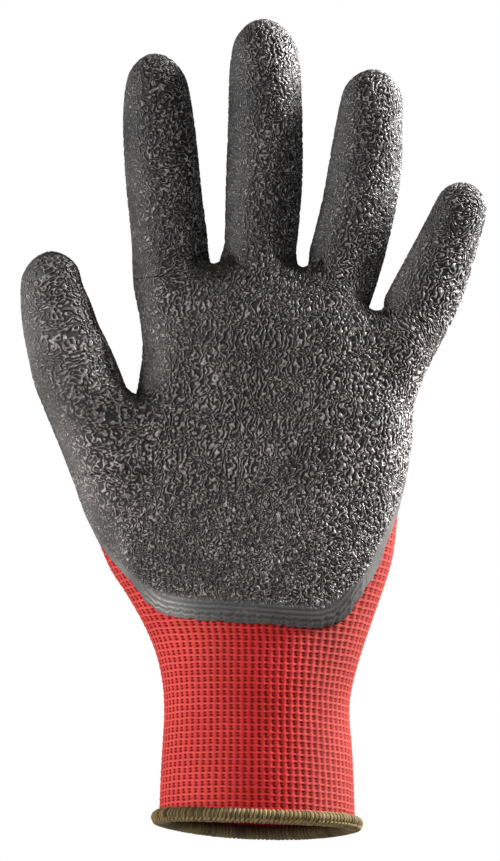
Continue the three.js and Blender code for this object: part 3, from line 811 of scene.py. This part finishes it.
# A tube of knitting round the cuff and the hand, with every cell in its mesh, except where latex hides it.
def knitBody(material):
    skinFaces = outerWall.data
    cover = numberOf(skinFaces, "cover")
    faceCover = [float(np.mean([cover[corner] for corner in face.vertices])) for face in skinFaces.polygons]
    skinTree = BVHTree.FromPolygons([tuple(place) for place in placesOf(skinFaces)],
                                    [tuple(face.vertices) for face in skinFaces.polygons])
    columns = knitPlan["wales"] * linerPlan["columns"]
    pitch = knitPlan["pitch"]
    rows = int((linerPlan["top"] - linerPlan["bottom"]) / pitch * linerPlan["columns"])
    places = np.empty((rows + 1, columns, 3))
    hidden = np.empty((rows + 1, columns), dtype=bool)
    wales = np.arange(columns) / linerPlan["columns"] - knitPlan["wales"] / 2
    for row in range(rows + 1):
        height = linerPlan["bottom"] + row * pitch / linerPlan["columns"]
        middle, half, depth = handOval(height)
        turns, shares = ovalShares(depth / half, 721)
        turn = np.interp(wales / knitPlan["wales"], shares, turns)
        for column in range(columns):
            way = Vector((half * math.sin(turn[column]), depth * math.cos(turn[column]), 0)).normalized()
            place, _, face, _ = skinTree.ray_cast(Vector((middle, 0, height)) * mm, way)
            places[row, column] = place
            hidden[row, column] = faceCover[face] > linerPlan["underLatex"]
    around = np.roll(places, -3, axis=1) - np.roll(places, 3, axis=1)
    upward = np.gradient(places, axis=0)
    outward = np.cross(around, upward)
    outward /= np.linalg.norm(outward, axis=2, keepdims=True)
    if (outward[10, :, 1] * places[10, :, 1]).sum() < 0:
        outward *= -1
    steps = (linerPlan["bottom"] / pitch + np.arange(rows + 1) / linerPlan["columns"])[:, None]
    lap = np.append(wales, wales[0] + knitPlan["wales"])[None, :]
    across = np.append(places[:, :, 0], places[:, :1, 0], axis=1) / mm
    cells = np.stack(wandered(lap, steps, across), axis=2)
    relief = knitHeight(cells[:, :-1, 0], cells[:, :-1, 1]) * linerPlan["relief"]
    points = (places + outward * relief[:, :, None]).reshape(-1, 3).tolist()
    hidden = hidden.ravel()
    faces, loops = [], []
    for row in range(rows):
        for column in range(columns):
            after = (column + 1) % columns
            corners = (row * columns + column, (row + 1) * columns + column,
                       (row + 1) * columns + after, row * columns + after)
            if all(hidden[corner] for corner in corners):
                continue
            faces.append(corners)
            loops.extend([cells[row, column], cells[row + 1, column], cells[row + 1, column + 1],
                          cells[row, column + 1]])
    mesh = bpy.data.meshes.new("knitBody")
    mesh.from_pydata(points, [], faces)
    mesh.uv_layers.new(name="knit").data.foreach_set("uv", np.array(loops, dtype=np.float32).ravel())
    body = newPiece("knitBody", mesh)
    editAll()
    bpy.ops.mesh.delete_loose(use_verts=True, use_edges=True, use_faces=False)
    leaveEdit()
    thicken(body, linerPlan["bodyShare"], thickness=linerPlan["sheet"])
    finishKnit(body, material)


# The backs of the fingers and the webs between them: the skin itself, with the same cells in it.
def knitFingers(material):
    fingers = newPiece("knitFingers", outerWall.data.copy())
    mesh = fingers.data
    top = linerPlan["top"] * mm
    spare = numberOf(mesh, "cover") > linerPlan["underLatex"]
    spare |= placesOf(mesh)[:, 2] < top - linerPlan["lap"]
    deleteFaces(mesh, [all(spare[corner] for corner in face.vertices) for face in mesh.polygons])
    subdivided(fingers, 1)
    mesh = fingers.data
    places = placesOf(mesh)
    wale, course = knitMap(places / mm, fingerAxes.values())
    relief = knitHeight(wale, course) * linerPlan["relief"]
    low = 1 - ease(-places[:, 2], -top - 0.5 * mm, -top + 0.8 * mm)
    movePlaces(mesh, places + normalsOf(mesh) * (relief - (1 - low) * linerPlan["tuck"])[:, None])
    corners = numbersOf(mesh.loops, "vertex_index", 1, np.int32)[:, 0]
    layer = mesh.uv_layers.new(name="knit")
    layer.data.foreach_set("uv", np.stack([wale, course], axis=1)[corners].astype(np.float32).ravel())
    thicken(fingers, linerPlan["fingerShare"], thickness=linerPlan["sheet"])
    finishKnit(fingers, material)


knitLook = {
    "base": (0.62, 0.022, 0.025),
    "yarn": ((0.3, (0.50, 0.022, 0.022)), (0.7, (0.62, 0.032, 0.031))),
    "line": (0.80, 0.085, 0.08),
    # painted shade in the knit's holes
    "hole": (0.16, 0.0012, 0.0018),
    # painted light and shade on the yarn from one side of the cuff to the other: lighter and pinker on the
    # left, darker towards the middle and the right, and greyer on the right
    "sides": ((0.0, (1.0, 1.8, 1.6)), (0.45, (0.79, 0.56, 0.56)), (0.75, (0.67, 0.56, 0.56)),
              (1.0, (0.51, 1.25, 1.0))),
    "cuffHalf": 0.026,         # metres from the middle to either side
    "noises": ((70.0, 3.0), (3200.0, 2.0)),    # scale and detail, for clouds and fuzz
    "fuzzDepth": 0.08 * mm,
}


def knitMaterial():
    material, tree, shader = newMaterial("redKnit", knitLook["base"], {
        "Roughness": 0.85, "Specular IOR Level": 0.2, "Sheen Weight": 0.12, "Sheen Roughness": 0.4,
        "Sheen Tint": (1.0, 0.45, 0.42, 1)})
    cell = tree.node("ShaderNodeUVMap", uv_map="knit").outputs[0]
    parts = tree.node("ShaderNodeSeparateXYZ", {0: cell})
    across = tree.math("FRACT", parts.outputs[0])
    up = tree.math("FRACT", parts.outputs[1])

    def hole(x, y, wide, tall):
        first = tree.math("POWER", tree.math("DIVIDE", tree.minus(across, x), wide), 2.0)
        second = tree.math("POWER", tree.math("DIVIDE", tree.minus(up, y), tall), 2.0)
        return tree.math("EXPONENT", tree.times(tree.plus(first, second), -1.0))

    rise, start, reach = knitCell["gap"]
    slant = tree.math("ABSOLUTE", tree.minus(tree.plus(tree.times(across, rise), start), up))
    middle, inner, outer = knitCell["gapSpan"]
    aside = tree.math("ABSOLUTE", tree.minus(across, middle))
    gap = tree.times(tree.range(slant, 0.0, reach, 1.0, 0.0), tree.range(aside, inner, outer, 1.0, 0.0))
    holes = tree.math("MAXIMUM", hole(*knitCell["lowHole"]), hole(*knitCell["highHole"]))
    holes = tree.math("MAXIMUM", holes, tree.times(gap, knitCell["gapDepth"]))
    edge = tree.math("ABSOLUTE", tree.minus(up, 0.5))
    line = tree.range(edge, 0.40, 0.49)
    place = tree.node("ShaderNodeTexCoord").outputs["Object"]
    cloud, fuzz = (tree.noise(place, *noise) for noise in knitLook["noises"])
    yarn = tree.ramp(cloud, knitLook["yarn"])
    lined = tree.mix(tree.times(line, 0.4), yarn, knitLook["line"])
    # Painted light and shade across the cuff, by how far aside a point lies.
    side = tree.node("ShaderNodeSeparateXYZ", {0: place}).outputs[0]
    tones = tree.ramp(tree.range(side, -knitLook["cuffHalf"], knitLook["cuffHalf"]), knitLook["sides"])
    toned = tree.mix(1.0, lined, tones, blend="MULTIPLY")
    # Painted shade in the holes of each cell.
    dark = tree.mix(tree.range(holes, 0.12, 0.55), toned, knitLook["hole"])
    fit(tree, shader, "Base Color", dark)
    fit(tree, shader, "Normal", tree.bump(0.6, knitLook["fuzzDepth"], fuzz))
    return material


redKnit = knitMaterial()
linerInside(redKnit)
knitBody(redKnit)
knitFingers(redKnit)


hemPlan = {
    "halfWidth": 28.6 * mm,
    "halfDepth": 21.4 * mm,
    "height": 2.6 * mm,
    "outReach": 2.85 * mm,     # of a thread's middle line from the middle of the hem
    "upReach": 1.95 * mm,
    "wraps": 128,
    "thread": 0.34 * mm,
    "slant": 13,               # degrees
    "slantSpread": 4,
    "pairShift": 0.28,         # of a thread's share of the round, by which two and two stand together
    "backShade": 0.35,          # share of the tone at the back: painted shade on the wraps behind
    "saddle": 0.6 * mm,        # how far the ends stand above the middle line, and front and back below it
    "tubeScale": 10,           # rings start with tubes this much thinner than themselves
}
stitchPlan = {
    "count": 116,
    "round": -42,              # degrees round the hem's section from its outermost line
    "halfLength": 1.0 * mm,
    "thick": 0.4 * mm,
}


# Turns round the hem's oval, and the share of its way round at each.
def hemLine():
    turns = np.linspace(0, 2 * math.pi, 2881)
    across = hemPlan["halfWidth"] * np.cos(turns)
    through = hemPlan["halfDepth"] * np.sin(turns)
    along = np.concatenate([[0], np.cumsum(np.hypot(np.diff(across), np.diff(through)))])
    return turns, along / along[-1]


# The middle line of the hem, with its outward direction, at a share of the way round.
def hemFrame(share):
    turns, shares = hemLine()
    turn = float(np.interp(share % 1, shares, turns))
    across = hemPlan["halfWidth"] * math.cos(turn)
    rise = hemPlan["saddle"] * math.cos(2 * turn) + knitPlan["tilt"] * across
    place = Vector((across, hemPlan["halfDepth"] * math.sin(turn), hemPlan["height"] + rise))
    out = Vector((math.cos(turn) / hemPlan["halfWidth"], math.sin(turn) / hemPlan["halfDepth"], 0))
    return place, out.normalized()


def finishHem(piece, material):
    piece.data.materials.append(material)
    activate(piece)
    bpy.ops.object.shade_smooth()
    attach(piece, "root")
    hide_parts("cuff_hem")
    tell(piece)


# A piece of many small solids, each with its own tone; on the hem the tone also holds painted shade.
def finishThreads(name, points, faces, toneAndShade, material):
    mesh = bpy.data.meshes.new(name)
    mesh.from_pydata(points, [], faces)
    piece = newPiece(name, mesh)
    keepNumber(mesh, "toneAndShade", np.array(toneAndShade))
    editAll()
    bpy.ops.mesh.normals_make_consistent(inside=False)
    leaveEdit()
    finishHem(piece, material)


# A ring, and for its points the turn round it, and how far they lie outside and above its middle line, in
# radii of its tube.
def addRing(around, through):
    bpy.ops.mesh.primitive_torus_add(major_segments=around, minor_segments=through, major_radius=1,
                                     minor_radius=1 / hemPlan["tubeScale"])
    base = placesOf(bpy.context.object.data)
    turn = np.arctan2(base[:, 1], base[:, 0])
    swell = (np.hypot(base[:, 0], base[:, 1]) - 1) * hemPlan["tubeScale"]
    return bpy.context.object, turn, swell, base[:, 2] * hemPlan["tubeScale"]


def makeHem(material):
    loop, turn, swell, lift = addRing(12, 4)
    # a turn of thread in the plane across the hem: out, up and along
    out = (hemPlan["outReach"] + swell * hemPlan["thread"]) * np.cos(turn)
    up = (hemPlan["upReach"] + swell * hemPlan["thread"]) * np.sin(turn)
    along = lift * hemPlan["thread"]
    drawer = random.Random(5)
    faces = [tuple(face.vertices) for face in loop.data.polygons]
    points, allFaces, toneAndShade = [], [], []
    for wrap in range(hemPlan["wraps"] * 2):
        share = (wrap + hemPlan["pairShift"] * (1 if wrap % 2 else -1)) / (hemPlan["wraps"] * 2)
        place, outward = hemFrame(share + drawer.uniform(-0.0004, 0.0004))
        sideways = Vector((-outward.y, outward.x, 0))
        swellBy = drawer.uniform(0.97, 1.03)
        spread = drawer.uniform(-hemPlan["slantSpread"], hemPlan["slantSpread"])
        slant = math.tan(math.radians(hemPlan["slant"] + spread))
        start = len(points)
        for index in range(len(turn)):
            shift = along[index] + slant * up[index] * 0.5
            points.append(place + outward * float(out[index] * swellBy) + sideways * float(shift)
                          + Vector((0, 0, float(up[index] * swellBy))))
        allFaces.extend(tuple(start + corner for corner in face) for face in faces)
        # Painted shade: the wraps at the back get a darker tone.
        toneAndShade.extend([drawer.random() * (hemPlan["backShade"] if place.y > 0 else 1)] * len(turn))
    bpy.data.objects.remove(loop)
    finishThreads("hemThreads", points, allFaces, toneAndShade, material)


# The row of small slanting stitches that closes the hem, along its lower outer edge.
def makeStitches(material):
    bpy.ops.mesh.primitive_uv_sphere_add(segments=8, ring_count=4, radius=1)
    seed = bpy.context.object
    base = placesOf(seed.data)
    faces = [tuple(face.vertices) for face in seed.data.polygons]
    angle = math.radians(stitchPlan["round"])
    drawer = random.Random(8)
    points, allFaces, toneAndShade = [], [], []
    for stitch in range(stitchPlan["count"]):
        place, outward = hemFrame((stitch + drawer.uniform(-0.1, 0.1)) / stitchPlan["count"])
        along = Vector((-outward.y, outward.x, 0))
        rise = Vector((0, 0, 1))
        away = outward * math.cos(angle) + rise * math.sin(angle)
        down = rise * math.cos(angle) - outward * math.sin(angle)
        centre = place + outward * (hemPlan["outReach"] * math.cos(angle))
        centre = centre + rise * (hemPlan["upReach"] * math.sin(angle))
        start = len(points)
        for x, y, z in base:
            long = x * stitchPlan["halfLength"]
            points.append(centre + away * float(z * stitchPlan["thick"] + stitchPlan["thick"] * 0.5)
                          + along * float(long * 0.78 - y * stitchPlan["thick"] * 0.62)
                          + down * float(long * 0.62 + y * stitchPlan["thick"] * 0.78))
        allFaces.extend(tuple(start + corner for corner in face) for face in faces)
        toneAndShade.extend([0.5 + 0.5 * drawer.random()] * len(base))
    bpy.data.objects.remove(seed)
    finishThreads("hemStitches", points, allFaces, toneAndShade, material)


# The plain ring that the threads are wound round.
def makeHemCore(material):
    core, turn, swell, lift = addRing(144, 12)
    core.name = "hemCore"
    points = []
    for index in range(len(turn)):
        place, outward = hemFrame(turn[index] / (2 * math.pi))
        points.append(place + outward * float(swell[index] * hemPlan["outReach"])
                      + Vector((0, 0, float(lift[index] * hemPlan["upReach"]))))
    movePlaces(core.data, np.array([tuple(point) for point in points]))
    # Painted shade: the core takes the darkest tone, as it lies in shade under the wraps.
    keepNumber(core.data, "toneAndShade", np.full(len(points), 0.1))
    finishHem(core, material)


threadLook = {
    "base": (0.13, 0.095, 0.035),
    "tones": ((0.25, (0.042, 0.028, 0.009)), (0.55, (0.160, 0.108, 0.036)), (0.85, (0.235, 0.165, 0.062))),
    "noises": ((120.0, 2.0), (2400.0, 3.0)),    # scale and detail, for clouds and fibres
    "fibreDepth": 0.06 * mm,
}


def threadMaterial():
    material, tree, shader = newMaterial("oliveThread", threadLook["base"], {
        "Roughness": 0.7, "Specular IOR Level": 0.2, "Sheen Weight": 0.1})
    place = tree.node("ShaderNodeTexCoord").outputs["Object"]
    cloud, fibre = (tree.noise(place, *noise) for noise in threadLook["noises"])
    mixed = tree.times(tree.plus(tree.stored("toneAndShade"), cloud), 0.5)
    colour = tree.ramp(mixed, threadLook["tones"])
    fit(tree, shader, "Base Color", colour)
    fit(tree, shader, "Normal", tree.bump(0.5, threadLook["fibreDepth"], fibre))
    return material


oliveThread = threadMaterial()
makeHem(oliveThread)
makeHemCore(oliveThread)
makeStitches(oliveThread)


stagePlan = {
    "distance": 5,
    "tilt": -8,                # degrees above the horizon that the camera stands
    "aim": (-2.1 * mm, 0, 120.9 * mm),
    "frameHeight": 258.3 * mm,
    "floor": -0.6,             # its height and radius in metres
    "floorRadius": 8,
    "sky": 0.2,                # its strength as a light, and its strength as the camera sees it
    "skySeen": 1.0,
    # name, place, target, size and watts
    "lights": (("softLeft", (-1.25, -0.7, 0.35), (0, 0, 0.12), (0.7, 1.0), 21),
               ("stripRight", (0.42, 0, 0.37), (0.02, 0, 0.18), (0.08, 0.3), 12),
               ("frontFill", (-0.3, -1.6, 0.7), (0, 0, 0.12), (0.5, 0.5), 4.6)),
}


def makeStage():
    bpy.ops.mesh.primitive_circle_add(vertices=96, radius=stagePlan["floorRadius"], fill_type="NGON",
                                      location=(0, 0, stagePlan["floor"]))
    floor = bpy.context.object
    floor.name = "floor"
    floor.data.materials.append(newMaterial("paleFloor", (0.86, 0.86, 0.85), {"Roughness": 0.7})[0])
    bpy.ops.object.transform_apply(location=True)
    world = bpy.data.worlds.new("studio")
    bpy.context.scene.world = world
    world.use_nodes = True
    tree = Tree(world.node_tree)
    background = world.node_tree.nodes["Background"]
    path = tree.node("ShaderNodeLightPath").outputs["Is Camera Ray"]
    strength = tree.range(path, 0.0, 1.0, stagePlan["sky"], stagePlan["skySeen"], smooth=False)
    background.inputs["Color"].default_value = (1, 1, 1, 1)
    world.node_tree.links.new(strength, background.inputs["Strength"])


def addLight(name, place, target, size, power):
    data = bpy.data.lights.new(name, "AREA")
    data.shape = "RECTANGLE"
    data.size, data.size_y = size
    data.energy = power
    light = addObject(name, data)
    light.location = place
    light.rotation_euler = (Vector(target) - Vector(place)).to_track_quat("-Z", "Y").to_euler()


def addCamera():
    data = bpy.data.cameras.new("camera")
    data.lens = 36 * stagePlan["distance"] / stagePlan["frameHeight"]
    data.clip_end = 50
    camera = addObject("camera", data)
    tilt = math.radians(stagePlan["tilt"])
    aim = Vector(stagePlan["aim"])
    camera.location = aim + stagePlan["distance"] * Vector((0, -math.cos(tilt), math.sin(tilt)))
    camera.rotation_euler = (math.pi / 2 - tilt, 0, 0)
    bpy.context.scene.camera = camera


makeStage()
addCamera()
for lightPlan in stagePlan["lights"]:
    addLight(*lightPlan)
bpy.context.scene.view_settings.view_transform = "Standard"

for wall in (outerWall, innerWall):
    bpy.data.objects.remove(wall)
